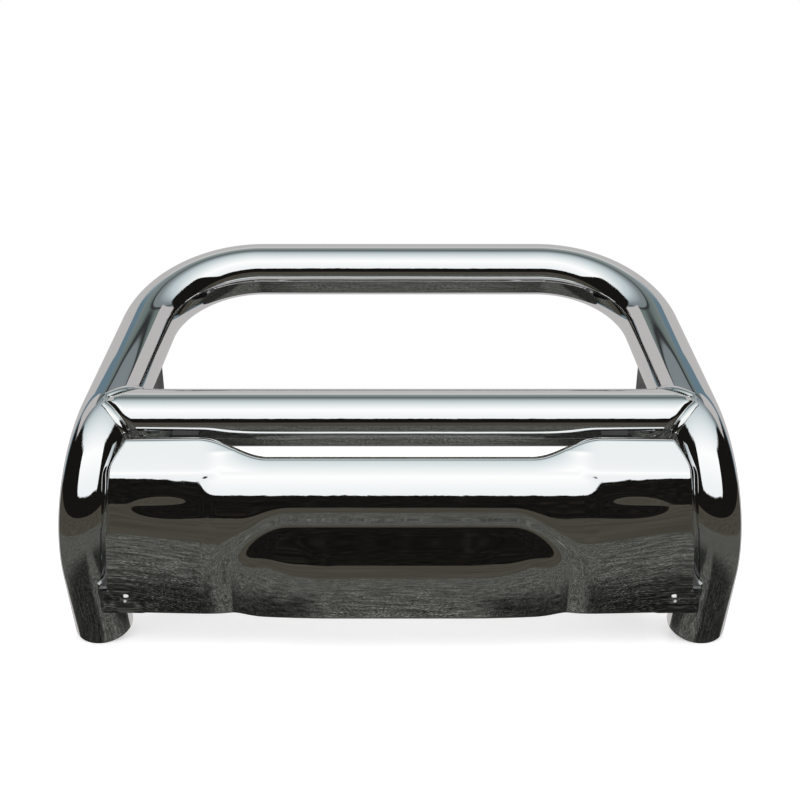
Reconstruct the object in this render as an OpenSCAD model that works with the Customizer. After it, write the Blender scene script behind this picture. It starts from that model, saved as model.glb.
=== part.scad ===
// Front grille guard: a bent tube hoop with a cross tube, a pressed skid plate and two frame brackets.
// Units are mm. X runs across the vehicle, Y runs back towards it, Z is up.
// The origin is the middle of the four chassis bolt slots, on the rear face of the bracket flanges.
// Left and right are as seen by someone standing in front of the vehicle: left is -X.

/* [Tube] */
// outside diameter of every tube
tube_od = 76.2; // [50:0.1:90]
// wall of every tube
tube_wall = 2; // [1.5:0.1:3]

/* [Hoop] */
// distance between the two top corner points, on the tube axis
hoop_w_top = 685; // [560:1:820]
// distance between the two knee points, on the tube axis
hoop_w_knee = 800; // [660:1:960]
// distance between the two lower ends, on the tube axis
hoop_w_foot = 807; // [660:1:960]
// height of the top bar axis above the knee points
top_rise = 235.1; // [190:1:300]
// how far the top bar axis lies behind the knee points
top_set = 363.3; // [300:1:460]
// height of the knee points above the lower ends
foot_drop = 217.7; // [170:1:270]
// how far the lower ends lie behind the knee points
foot_set = 89.9; // [60:1:120]
// centre line radius of the two top corner bends
corner_r = 155; // [115:1:200]
// centre line radius of the two knee bends
knee_r = 159.5; // [130:0.5:195]
// how far the knee points stand in front of the chassis face
knee_reach = 304.9; // [260:0.1:350]
// height of the knee points above the chassis bolt slots
knee_z = 86.2; // [60:0.1:110]

/* [Cross tube] */
// share of the way from the knee point to the top corner where the cross tube meets the leg
cross_at = 0.284; // [0.24:0.002:0.36]
// gap left for the weld between a coped end and the tube it meets
cope_gap = 0.3; // [0.1:0.1:0.6]

/* [Skid plate] */
// sheet thickness
sheet_t = 2; // [1.2:0.1:3]
// distance from the plate edge to the leg axis at the knee
plate_inset = 24; // [19:0.5:34]
// how much nearer the middle the plate edge is at the crease than at the bottom
side_taper = 12; // [4:1:24]
// how far the face stands behind the frontmost line of the legs
face_set = 4.5; // [2:0.5:12]
// radius of the gently rounded lower face, seen from the side
face_r = 396; // [320:5:520]
// height of the foremost line of the face above the frontmost line of the legs, at the plate edge
face_up = -2.7; // [-12:0.1:8]
// how much lower the foremost line of the face runs in the middle than at the plate edge
face_dip = 24; // [10:1:36]
// height of the wing crease above the frontmost line of the face
crease_up = 81.7; // [65:0.1:98]
// lean of the wing face above the crease
wing_lean = 37; // [20:1:45]
// height of the wing top edge above the crease
wing_up = 37.5; // [25:0.5:50]
// half width where the crease runs out into the middle
crease_x = 230; // [190:1:250]
// half width of the hollow under the inner end of the crease
dart_x = 240; // [200:1:260]
// height of the hollow under the inner end of the crease
dart_h = 10; // [6:1:16]
// depth of the shallow dimple under the crease
dimple_d = 1; // [0:0.5:3]
// height above the face line where the rounded middle begins
mid_up = 49.5; // [38:0.5:60]
// radius of the rounded middle of the top edge, seen from the side
mid_r = 81.5; // [68:0.5:100]
// how far the top edge drops in the middle
mid_drop = 23.5; // [16:0.5:30]
// half width of the flat part of the dropped top edge
mid_flat = 161; // [120:1:200]
// half width where the top edge is back at wing height
mid_full = 257; // [210:1:300]
// depth of the lip folded back along the top edge
lip_d = 11; // [6:1:16]
// depth of the fold along the bottom edge
hem_d = 5; // [3:1:8]
// drop of the bottom edge below the frontmost line of the face
plate_drop = 106; // [86:1:126]
// extra drop of the bottom edge under the boss
boss_drop = 2; // [0:1:8]

/* [Pressed boss] */
// half width of the groove line at its top
boss_w_top = 184; // [140:1:200]
// half width of the groove line along its upright sides
boss_w_low = 213; // [180:1:240]
// height over which the groove line spreads from its top to its full width
boss_flare = 62; // [30:1:90]
// height of the groove line above the frontmost line of the face
boss_up = 14; // [5:1:35]
// corner radius of the groove line
boss_corner = 46; // [36:1:60]
// depth of the groove
groove_d = 4; // [2:0.5:8]
// reach of the groove to its outer side
groove_w = 14; // [8:1:20]
// reach of the groove to its inner side, along the upright sides
groove_side = 18; // [10:1:30]
// reach of the groove to its inner side, along the top
groove_in = 40; // [25:1:60]
// how far the boss panel stands proud at the bottom edge
boss_proud = 10.5; // [4:0.5:18]
// width over which the panel comes forward from its sides
boss_blend = 125; // [80:1:160]

/* [Ears and lower fixings] */
// height of each ear above the bottom edge
ear_h = 31; // [22:1:40]
// how far each ear reaches outside the plate edge
ear_out = 9; // [5:1:14]
// distance of the fixing screw inside the plate edge
screw_in = 24.5; // [16:0.5:32]
// height of the fixing screw above the bottom edge
screw_up = 21.5; // [16:0.5:28]
// thread size of the plate screws
screw_d = 8; // [6:1:10]
// thickness of the welded tabs
tab_t = 5; // [3:0.5:8]

/* [Frame brackets] */
// distance between the inner faces of the two brackets
bracket_gap = 700; // [640:1:740]
// plate thickness of the brackets and mount tabs
bracket_t = 6; // [4:0.5:8]
// inside radius of the bracket bend
bend_r = 5; // [3:1:8]
// width of the rear flange from the outer face of the bracket
flange_w = 66; // [50:1:90]
// height of the rear flange above the chassis slots
flange_up = 90; // [70:1:120]
// height of the bracket top corner above the chassis slots
bracket_top = 203; // [160:1:215]
// how far the bracket top corner lies in front of the chassis face
bracket_top_set = 31; // [20:1:60]
// lean of the bracket rear edge above the flange
rear_lean = 14.7; // [5:0.5:25]

/* [Bolts] */
// across-slot distance of the chassis slots
chassis_x = 640; // [560:1:680]
// up-and-down distance of the chassis slots
chassis_z = 110; // [80:1:140]
// thread size of the bracket bolts
bolt_d = 12; // [8:1:16]
// clearance on the bolt diameter in every bolt hole
bolt_clear = 1; // [0.5:0.25:2]
// length of the straight part of each slot, end centre to end centre
slot_run = 14; // [0:1:24]
// up-and-down distance of the two bolts through each mount tab
mount_pitch = 80; // [60:1:100]

/* [Hidden] */
$fn = 96;
bore = tube_od - 2 * tube_wall;
rt = tube_od / 2;
seat = 0.3;
eps = 0.01;
// overlap where a straight run enters a bend
lap = 1;
// how much wider a straight run is than the bend it enters
fuse = 0.1;

// ---- hoop points ----
knee_y = -knee_reach;
top_y = knee_y + top_set;
top_z = knee_z + top_rise;
foot_y = knee_y + foot_set;
foot_z = knee_z - foot_drop;
p_top = [hoop_w_top / 2, top_y, top_z];
p_knee = [hoop_w_knee / 2, knee_y, knee_z];
p_foot = [hoop_w_foot / 2, foot_y, foot_z];
function unit(v) = v / norm(v);
d_up = unit(p_top - p_knee);
d_dn = unit(p_foot - p_knee);
// half of the inside angle between two directions leaving a point
function half(a, b) = acos(a * b) / 2;
function run_out(a, b, r) = r / tan(half(a, b));
function centre(p, a, b, r) = p + unit(a + b) * r / sin(half(a, b));
c_run = run_out([-1, 0, 0], -d_up, corner_r);
k_run = run_out(d_up, d_dn, knee_r);
knee_c = centre(p_knee, d_up, d_dn, knee_r);
// the frontmost line of the legs
front_z = knee_c[2];
front_y = knee_c[1] - knee_r - rt;

// ---- cross tube ----
p_cross = p_knee + (p_top - p_knee) * cross_at;
cross_y = p_cross[1];
cross_z = p_cross[2];

// ---- skid plate surface ----
face_y = front_y + face_set;
face_z = front_z + face_up;
crease_z = face_z + crease_up;
wing_top = crease_z + wing_up;
plate_low = face_z - plate_drop;
// start and turn of the knee bend, and the lean of the leg below it
bend_x = unit(p_knee + d_up * k_run - knee_c);
bend_turn = 180 - 2 * half(d_up, d_dn);
foot_lean = atan(foot_set / foot_drop);
edge_x = leg_x(front_z) - plate_inset;
// distance from the plate edge to where the face has its full dip
face_turn = 170;
// width over which the crease and its hollow run out
crease_w = 34;
dart_w = 28;
// part of the wing height over which the crease line gives way to the top line
over_part = 0.6;
// place and reach of the dimple
dimple_x = 291;
dimple_up = 42;
dimple_w = 34;
dimple_h = 10;
// steepest lean of the rounded middle
mid_steep = 58;
// distance over which the groove changes from its upright form to its top form
corner_turn = 90;
function lerp(a, b, t) = a + (b - a) * t;
function ease(t) = t <= 0 ? 0 : t >= 1 ? 1 : t * t * (3 - 2 * t);
function clip(t) = min(max(t, 0), 1);
function arc_back(r, d) = r - sqrt(max(r * r - d * d, 0));
function dip(x) = face_dip * ease((edge_x - abs(x)) / face_turn);
function face0(x, z) = face_y + arc_back(face_r, z - face_z + dip(x));
function wing_y(x, z) = z > crease_z
    ? face0(x, crease_z) + (z - crease_z) * tan(wing_lean)
    : face0(x, z);
function mid_y(x, z) = let (z0 = face_z + mid_up, a = asin((mid_up + dip(x)) / face_r),
        cy = face0(x, z0) + mid_r * cos(a), cz = z0 - mid_r * sin(a), z1 = cz + mid_r * sin(mid_steep))
    z > z0
        ? cy - sqrt(max(pow(mid_r, 2) - pow(min(z, z1) - cz, 2), 0)) + max(z - z1, 0) * tan(mid_steep)
        : face0(x, z);
// share of the wing form against the rounded middle: along the top, at the crease and under it
function wing_share(x) = ease((abs(x) - mid_flat) / (mid_full - mid_flat));
function crease_share(x) = ease((abs(x) - crease_x) / crease_w);
function dart_share(x) = ease((abs(x) - dart_x) / dart_w);
function share_at(x, z) = let (up = ease((z - crease_z + dart_h) / dart_h),
        over = lerp(crease_share(x), wing_share(x), clip((z - crease_z) / (over_part * wing_up))))
    lerp(dart_share(x), over, up);
function top_at(x) = wing_top - mid_drop * (1 - wing_share(x));
// X of the right leg axis at a height, on the knee bend or the straight run either side of it
function leg_x(z) = let (cosine = (z - knee_c[2]) / (knee_r * norm([bend_x[2], d_up[2]])),
        t = acos(min(max(cosine, -1), 1)) - atan2(d_up[2], bend_x[2]))
    t < 0 ? p_knee[0] + d_up[0] * (z - p_knee[2]) / d_up[2]
    : t > bend_turn ? p_knee[0] + d_dn[0] * (z - p_knee[2]) / d_dn[2]
    : knee_c[0] + knee_r * (cos(t) * bend_x[0] - sin(t) * d_up[0]);
// Y of the front of the leg at a point beside its axis
function leg_skin(x, z) = let (off = min(abs(abs(x) - leg_x(z)), rt - 1),
        out = knee_r + sqrt(rt * rt - off * off), low = knee_c[2] - out * sin(foot_lean))
    z > low
        ? knee_c[1] - sqrt(max(out * out - pow(z - knee_c[2], 2), 0))
        : knee_c[1] - out * cos(foot_lean) + (low - z) * tan(foot_lean);
// how far and over what height the outer top corner is rounded in, starting just above the crease
corner_in = 22;
corner_start = 2;
corner_rise = wing_up * 1.35;
function side_x(z) = edge_x - side_taper * clip((z - plate_low) / (crease_z - plate_low))
    - corner_in * ease((z - crease_z - corner_start) / corner_rise);
// groove line: distance inside it, positive towards the boss
boss_z = face_z + boss_up;
// powers that shape the flare of the groove line and the two slopes of the panel
flare_power = 1.7;
down_power = 0.7;
aside_power = 1.8;
function groove_x(z) = boss_w_low
    - (boss_w_low - boss_w_top) * pow(1 - clip((boss_z - z) / boss_flare), flare_power);
function inside(x, z) = let (a = groove_x(z) - abs(x), b = boss_z - z, c = boss_corner)
    (a < c && b < c) ? c - norm([c - a, c - b]) : min(a, b);
function groove(x, z) = let (s = inside(x, z), a = groove_x(z) - abs(x), b = boss_z - z,
        inner = lerp(groove_side, groove_in, ease(0.5 + (a - b) / corner_turn)))
    groove_d * exp(-pow(s / (s < 0 ? groove_w : inner), 2));
function panel(x, z) = let (down = clip((boss_z - z) / (boss_z - plate_low)),
        aside = 1 - pow(clip(1 - (boss_w_low - abs(x)) / boss_blend), aside_power))
    boss_proud * ease(pow(down, down_power)) * aside;
function dimple(x, z) = dimple_d * exp(-pow((abs(x) - dimple_x) / dimple_w, 2)
    - pow((z - face_z - dimple_up) / dimple_h, 2));
function free_y(x, z) = lerp(mid_y(x, z), wing_y(x, z), share_at(x, z))
    + groove(x, z) - panel(x, z) + dimple(x, z);
// the sheet passes in front of the legs with a small gap, rounded over hug_soft
hug_soft = 1;
function skin(x, z) = let (f = free_y(x, z), hug = leg_skin(x, z) - seat - sheet_t * 1.25)
    (f + hug - sqrt(pow(f - hug, 2) + hug_soft * hug_soft)) / 2;
// the bottom edge drops under the boss over this distance, read this far above the edge
low_blend = 40;
low_read = 30;
function low_at(x) = plate_low - boss_drop * ease(inside(x, plate_low + low_read) / low_blend);

// ---- grid of the pressed sheet ----
cols = 76;
rows = 34;
// rows and columns are even
function node_xz(i, j) = let (u = i / cols * 2 - 1, x0 = u * edge_x,
        zt = top_at(x0 * side_x(wing_top) / edge_x), zl = low_at(x0),
        z = lerp(zl, zt, j / rows), k = side_x(z) / edge_x)
    [x0 * k, z];
front_pts = [for (j = [0 : rows]) for (i = [0 : cols])
    let (q = node_xz(i, j)) [q[0], skin(q[0], q[1]), q[1]]];
function slope(x, z) = (skin(x, z + 1) - skin(x, z - 1)) / 2;
function slope_x(x, z) = (skin(x + 1, z) - skin(x - 1, z)) / 2;
function back_of(p) = let (s = slope(p[0], p[2]), sx = slope_x(p[0], p[2]), m = norm([1, s, sx]))
    p + sheet_t * [-sx, 1, -s] / m;
back_pts = [for (p = front_pts) back_of(p)];
n1 = cols + 1;
nf = n1 * (rows + 1);
function fi(i, j) = j * n1 + i;
function bi(i, j) = nf + fi(i, j);
sheet_faces = concat(
    [for (j = [0 : rows - 1]) for (i = [0 : cols - 1]) each [
        [fi(i, j), fi(i + 1, j), fi(i + 1, j + 1)],
        [fi(i, j), fi(i + 1, j + 1), fi(i, j + 1)],
        [bi(i, j), bi(i + 1, j + 1), bi(i + 1, j)],
        [bi(i, j), bi(i, j + 1), bi(i + 1, j + 1)]]],
    [for (i = [0 : cols - 1]) each [
        [fi(i, 0), bi(i, 0), bi(i + 1, 0)],
        [fi(i, 0), bi(i + 1, 0), fi(i + 1, 0)],
        [fi(i, rows), bi(i + 1, rows), bi(i, rows)],
        [fi(i, rows), fi(i + 1, rows), bi(i + 1, rows)]]],
    [for (j = [0 : rows - 1]) each [
        [fi(0, j), bi(0, j + 1), bi(0, j)],
        [fi(0, j), fi(0, j + 1), bi(0, j + 1)],
        [fi(cols, j), bi(cols, j), bi(cols, j + 1)],
        [fi(cols, j), bi(cols, j + 1), fi(cols, j + 1)]]]);

// ---- lower fixing ----
screw_x = edge_x - screw_in;
screw_z = plate_low + screw_up;
screw_y = free_y(screw_x, screw_z);
screw_a = asin((screw_z - face_z + dip(screw_x)) / face_r);
screw_hole = screw_d + 0.6;
screw_head_d = 2 * screw_d;
screw_head_h = 0.55 * screw_d;
screw_washer_t = 1.6;
screw_nut_h = 0.8 * screw_d;
// the flat tab stands clear of the bowed sheet at its ends
tab_half = 14;
tab_gap = seat + 0.4 + arc_back(face_r, tab_half);

// ---- brackets ----
br_in = bracket_gap / 2;
tab_x = br_in + bracket_t + seat;
leg_back = knee_c[1] - knee_r + rt;
mount_y = leg_back + 52;
mount_z = front_z + 37;
// the lowest point of the tube ends; the bracket toes reach the same level
low_rim = foot_z - rt * norm([d_dn[0], d_dn[1]]);
flange_h = flange_up - low_rim;
// clearance between the bracket and the tubes above it
leg_clear = 4;
// height just under the sloping leg, at a distance along Y
function under_leg(y) = knee_z + (y - knee_y) * top_rise / top_set
    - (rt + leg_clear) * norm([top_rise, top_set]) / top_set;
bolt_hole = bolt_d + bolt_clear;
head_h = 0.63 * bolt_d;
head_w = 1.5 * bolt_d;
nut_h = 0.9 * bolt_d;
washer_t = 2.4;
washer_d = 2 * bolt_d;
lock_t = 3;
lock_d = 1.75 * bolt_d;
stack = 2 * bracket_t + seat + 2 * washer_t + lock_t + 5 * seat;

steel = [0.80, 0.81, 0.82];
zinc = [0.70, 0.71, 0.72];
black = [0.12, 0.12, 0.12];

// ================= helpers =================
// rod of a given diameter between two points, with an optional run past each end
module rod(a, b, d, ext = 0) {
    v = unit(b - a);
    l = norm(b - a);
    translate(a - v * ext)
        rotate([0, acos(v[2]), atan2(v[1], v[0])])
            cylinder(d = d, h = l + 2 * ext);
}

// one bend at a corner point: a leads back along the run in, b leads on
module bend(p, a, b, r, d) {
    c = centre(p, a, b, r);
    s = p + a * run_out(a, b, r);
    x = unit(s - c);
    y = -a;
    z = cross(x, y);
    multmatrix([[x[0], y[0], z[0], c[0]], [x[1], y[1], z[1], c[1]], [x[2], y[2], z[2], c[2]], [0, 0, 0, 1]])
        rotate_extrude(angle = 180 - 2 * half(a, b))
            translate([r, 0])
                circle(d = d);
}

// the whole hoop as a solid rod: straight runs enter the bends a little
module hoop_rod(d, ext = 0) {
    rod([c_run - lap - p_top[0], top_y, top_z], [p_top[0] - c_run + lap, top_y, top_z], d + fuse);
    both() {
        bend(p_top, [-1, 0, 0], -d_up, corner_r, d);
        rod(p_top - d_up * (c_run - lap), p_knee + d_up * (k_run - lap), d + fuse);
        bend(p_knee, d_up, d_dn, knee_r, d);
        rod(p_knee + d_dn * (k_run - lap), p_foot + d_dn * ext, d + fuse);
    }
}

// the two leg parts that cross tubes and tabs are coped to
module leg_cut(g) {
    rod(p_top - d_up * c_run, p_knee + d_up * (k_run - lap), tube_od + 2 * g + 0.2);
    bend(p_knee, d_up, d_dn, knee_r, tube_od + 2 * g);
    rod(p_knee + d_dn * (k_run - lap), p_foot, tube_od + 2 * g + 0.2);
}

module both() {
    children();
    mirror([1, 0, 0]) children();
}

// loft through a row of four-cornered sections
module ribbon(s) {
    n = len(s);
    ends = [[3, 2, 1, 0], [4 * n - 4, 4 * n - 3, 4 * n - 2, 4 * n - 1]];
    polyhedron(points = [for (q = s) each q], faces = concat(ends,
        [for (i = [0 : n - 2]) for (k = [0 : 3]) let (k2 = (k + 1) % 4) each [
            [4 * i + k, 4 * i + k2, 4 * i + 4 + k2], [4 * i + k, 4 * i + 4 + k2, 4 * i + 4 + k]]]));
}

// bolt along +X from the underside of its head at the origin
module hex_bolt(d, l, hw, hh) {
    translate([-hh, 0, 0]) rotate([0, 90, 0]) cylinder(d = hw / cos(30), h = hh, $fn = 6);
    translate([-eps, 0, 0]) rotate([0, 90, 0]) cylinder(d = d, h = l - 1);
    translate([l - 1 - eps, 0, 0]) rotate([0, 90, 0]) cylinder(d1 = d, d2 = d - 2, h = 1);
}

module hex_nut(d, hw, h) {
    rotate([0, 90, 0]) difference() {
        cylinder(d = hw / cos(30), h = h, $fn = 6);
        translate([0, 0, -1]) cylinder(d = d, h = h + 2);
    }
}

module ring(d_out, d_in, t) {
    rotate([0, 90, 0]) difference() {
        cylinder(d = d_out, h = t);
        translate([0, 0, -1]) cylinder(d = d_in, h = t + 2);
    }
}

// ================= tubes =================
module main_hoop() {
    color(steel) difference() {
        hoop_rod(tube_od);
        hoop_rod(bore, 1);
    }
}

module cross_tube() {
    color(steel) difference() {
        translate([-p_cross[0], cross_y, cross_z])
            rotate([0, 90, 0])
                cylinder(d = tube_od, h = 2 * p_cross[0]);
        translate([-p_cross[0] - 1, cross_y, cross_z])
            rotate([0, 90, 0])
                cylinder(d = bore, h = 2 * p_cross[0] + 2);
        both() leg_cut(cope_gap);
    }
}

// push-in plug that closes a lower tube end
module end_plug_right() {
    plug_h = 14;
    color(black) difference() {
        rod(p_foot - d_dn * (plug_h + 1), p_foot - d_dn * 1, bore - 2 * seat);
        rod(p_foot - d_dn * (plug_h + 2), p_foot - d_dn * 4, bore - 8);
    }
}
module end_plug_left() { mirror([1, 0, 0]) end_plug_right(); }

// ================= skid plate =================
module skid_plate() {
    color(steel) difference() {
        union() {
            polyhedron(points = concat(front_pts, back_pts), faces = sheet_faces);
            top_lip();
            low_hem();
            both() side_return();
            both() ear();
        }
        both() translate([screw_x, screw_y, screw_z]) rotate([90 - screw_a, 0, 0])
            cylinder(d = screw_hole, h = 30, center = true);
    }
}

// lip folded back along the top edge
module top_lip() {
    n = 60;
    xs = [for (i = [0 : n]) (i / n * 2 - 1) * side_x(wing_top) * 0.999];
    ribbon([for (x = xs) let (z = top_at(x), y = skin(x, z))
        [[x, y + 0.2, z - sheet_t], [x, y + lip_d, z - sheet_t], [x, y + lip_d, z], [x, y + 0.2, z]]]);
}

// narrow fold along the bottom edge
module low_hem() {
    n = 72;
    xs = [for (i = [0 : n]) (i / n * 2 - 1) * (screw_x - 20)];
    ribbon([for (x = xs) let (z = low_at(x), y = skin(x, z))
        [[x, y + 0.5, z], [x, y + hem_d, z], [x, y + hem_d, z + sheet_t], [x, y + 0.5, z + sheet_t]]]);
}

// fold along the free side edge above the knee
module side_return() {
    n = 16;
    z0 = face_z + 8;
    zs = [for (i = [0 : n]) lerp(z0, wing_top - 1, i / n)];
    ribbon([for (z = zs) let (x = side_x(z), y = skin(x, z), d = lerp(4, lip_d, ease((z - z0) / 60)))
        [[x - sheet_t, y + 0.4, z], [x - sheet_t, y + d, z], [x, y + d, z], [x, y + 0.4, z]]]);
}

// ear that wraps onto the leg and takes the screw
module ear() {
    n = 8;
    xs = [for (i = [0 : n]) edge_x - 6 + (ear_out + 6) * i / n];
    ribbon([for (x = xs) let (zt = plate_low + ear_h, zl = plate_low + 0.2,
            yt = skin(x, zt), yl = skin(x, zl))
        [[x, yl, zl], [x, yl + sheet_t, zl], [x, yt + sheet_t, zt], [x, yt, zt]]]);
}

// ================= tabs =================
// flat bar welded to the cross tube, under the plate lip
upper_tab_w = 34;
upper_tab_in = 20;
module skid_tab_upper_right() {
    w = upper_tab_w;
    x0 = mid_full + upper_tab_in;
    z1 = wing_top - sheet_t - seat;
    y0 = skin(x0, wing_top) + 4;
    color(steel) difference() {
        translate([x0 - w / 2, y0, z1 - tab_t]) cube([w, cross_y - y0, tab_t]);
        translate([x0 - w, cross_y, cross_z])
            rotate([0, 90, 0])
                cylinder(d = tube_od + 2 * cope_gap, h = 2 * w);
    }
}
module skid_tab_upper_left() { mirror([1, 0, 0]) skid_tab_upper_right(); }

// bar welded to the inner side of the leg, behind the plate ear
lower_tab_in = 16;
lower_tab_w = 50;
module skid_tab_lower_right() {
    color(steel) difference() {
        translate([screw_x, screw_y, screw_z]) rotate([-screw_a, 0, 0])
            translate([-lower_tab_in, sheet_t + tab_gap, -tab_half])
                cube([lower_tab_w, tab_t, 2 * tab_half]);
        translate([screw_x, screw_y, screw_z]) rotate([90 - screw_a, 0, 0])
            cylinder(d = screw_hole, h = 60, center = true);
        leg_cut(cope_gap);
    }
}
module skid_tab_lower_left() { mirror([1, 0, 0]) skid_tab_lower_right(); }

// plate welded to the back of the leg, with two bolt holes
module mount_tab_right() {
    color(steel) difference() {
        translate([tab_x, 0, 0]) rotate([90, 0, 90]) linear_extrude(bracket_t)
            difference() {
                polygon(concat([[leg_back + 34, mount_z + mount_pitch / 2 + 26],
                    [mount_y + 24, mount_z + mount_pitch / 2 - 4],
                    [mount_y + 24, mount_z - mount_pitch / 2 - 14],
                    [mount_y + 8, mount_z - mount_pitch / 2 - 28]],
                    [for (z = [-42 : 10 : 118])
                        [knee_c[1] - sqrt(pow(knee_r, 2) - z * z), front_z + z]]));
                for (s = [-1, 1]) translate([mount_y, mount_z + s * mount_pitch / 2]) circle(d = bolt_hole);
            }
        leg_cut(cope_gap);
        translate([0, cross_y, cross_z])
            rotate([0, 90, 0])
                cylinder(d = tube_od + 2 * cope_gap, h = hoop_w_knee / 2);
    }
}
module mount_tab_left() { mirror([1, 0, 0]) mount_tab_right(); }

// ================= frame brackets =================
module slot2d(d, run) {
    translate([-run / 2, 0]) circle(d = d);
    translate([run / 2, 0]) circle(d = d);
    translate([-run / 2, -d / 2]) square([run, d]);
}

bend_o = bend_r + bracket_t;
module frame_bracket_right() {
    color(black) union() {
        // upright side plate
        difference() {
            translate([br_in, 0, 0]) rotate([90, 0, 90]) linear_extrude(bracket_t) side_outline();
            // relief under the cross tube
            translate([br_in - 1, cross_y, cross_z])
                rotate([0, 90, 0])
                    cylinder(d = tube_od + 2 * leg_clear, h = bracket_t + 2);
            for (s = [-1, 1]) translate([br_in - 1, mount_y, mount_z + s * mount_pitch / 2])
                rotate([90, 0, 90]) linear_extrude(bracket_t + 2) slot2d(bolt_hole, slot_run);
        }
        // bend between the side plate and the flange
        translate([br_in - bend_r, -bend_o, low_rim]) linear_extrude(flange_h)
            intersection() {
                difference() {
                    circle(r = bend_o);
                    circle(r = bend_r);
                }
                square(bend_o);
            }
        // rear flange with the chassis slots
        difference() {
            translate([br_in + bracket_t - flange_w, -bracket_t, low_rim])
                cube([flange_w - bend_o, bracket_t, flange_h]);
            for (s = [-1, 1]) translate([chassis_x / 2, 1, s * chassis_z / 2])
                rotate([90, 0, 0]) linear_extrude(bracket_t + 2) slot2d(bolt_hole, slot_run);
        }
    }
}
module frame_bracket_left() { mirror([1, 0, 0]) frame_bracket_right(); }

// outline of the side plate in Y and Z
module side_outline() {
    lean_y = -bracket_top_set + (bracket_top - flange_up) * tan(rear_lean);
    top_front = -bracket_top_set - 14;
    polygon([[mount_y - 24, mount_z - mount_pitch / 2 - 26], [mount_y - 24, mount_z + mount_pitch / 2 + 14],
        [mount_y - 4, mount_z + mount_pitch / 2 + 26], [mount_y + 40, mount_z + mount_pitch / 2 + 34],
        [mount_y + 74, under_leg(mount_y + 74)], [top_front, min(bracket_top, under_leg(top_front))],
        [-bracket_top_set, bracket_top], [min(lean_y, -bend_o), flange_up], [-bend_o, flange_up],
        [-bend_o, low_rim], [-bend_o - 56, low_rim]]);
}

// ================= fasteners =================
module at_mounts() {
    for (m = [0, 1]) mirror([m, 0, 0])
        for (s = [-1, 1]) translate([br_in, mount_y, mount_z + s * mount_pitch / 2]) children();
}

module bracket_bolts() {
    color(zinc) at_mounts() translate([-washer_t - 2 * seat, 0, 0])
        hex_bolt(bolt_d, stack + nut_h + 4, head_w, head_h);
}
module bracket_washers() {
    color(zinc) at_mounts() {
        translate([-washer_t - seat, 0, 0]) ring(washer_d, bolt_hole, washer_t);
        translate([2 * bracket_t + 2 * seat, 0, 0]) ring(washer_d, bolt_hole, washer_t);
    }
}
module bracket_lock_washers() {
    color(zinc) at_mounts() translate([2 * bracket_t + washer_t + 3 * seat, 0, 0])
        ring(lock_d, bolt_hole, lock_t);
}
module bracket_nuts() {
    color(zinc) at_mounts() translate([2 * bracket_t + washer_t + lock_t + 4 * seat, 0, 0])
        hex_nut(bolt_d + 0.6, head_w, nut_h);
}

// frame at each plate screw: +X runs into the plate
module at_screws() {
    for (m = [0, 1]) mirror([m, 0, 0])
        translate([screw_x, screw_y, screw_z]) rotate([-screw_a, 0, 0]) rotate([0, 0, 90]) children();
}

module skid_screws() {
    shank = sheet_t + tab_gap + tab_t + screw_washer_t + screw_nut_h + 2;
    r = (pow(screw_head_d / 2, 2) + pow(screw_head_h, 2)) / (2 * screw_head_h);
    color(zinc) at_screws() difference() {
        union() {
            // domed head
            translate([-seat, 0, 0]) rotate([0, -90, 0]) rotate_extrude() intersection() {
                translate([0, screw_head_h - r]) circle(r = r);
                square([screw_head_d / 2, screw_head_h + 1]);
            }
            translate([-seat - 0.5, 0, 0]) rotate([0, 90, 0]) cylinder(d = screw_d, h = shank + 5 * seat);
        }
        // hexagon socket
        translate([-seat - screw_head_h - 1, 0, 0]) rotate([0, 90, 0])
            cylinder(d = 5 / cos(30), h = screw_head_h * 0.7 + 1, $fn = 6);
    }
}
module skid_washers() {
    color(zinc) at_screws() translate([sheet_t + tab_gap + tab_t + seat, 0, 0])
        ring(2 * screw_d, screw_hole, screw_washer_t);
}
module skid_nuts() {
    color(zinc) at_screws() translate([sheet_t + tab_gap + tab_t + screw_washer_t + 2 * seat, 0, 0])
        hex_nut(screw_d + 0.4, 1.6 * screw_d, screw_nut_h);
}

main_hoop();
cross_tube();
end_plug_left();
end_plug_right();
skid_plate();
skid_tab_upper_left();
skid_tab_upper_right();
skid_tab_lower_left();
skid_tab_lower_right();
skid_screws();
skid_washers();
skid_nuts();
mount_tab_left();
mount_tab_right();
frame_bracket_left();
frame_bracket_right();
bracket_bolts();
bracket_washers();
bracket_lock_washers();
bracket_nuts();
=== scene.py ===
"""Front grille guard: polished tube hoop, coped cross tube, pressed skid plate and black frame brackets.

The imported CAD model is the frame. Tubes and skid plate are rebuilt here as smooth meshes, because a
mirror shows every facet: the tubes on the CAD lines, the front of the plate within 3 mm of them.
Brackets, tabs, plugs and fasteners are the CAD nodes with materials.
"""
import math

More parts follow.
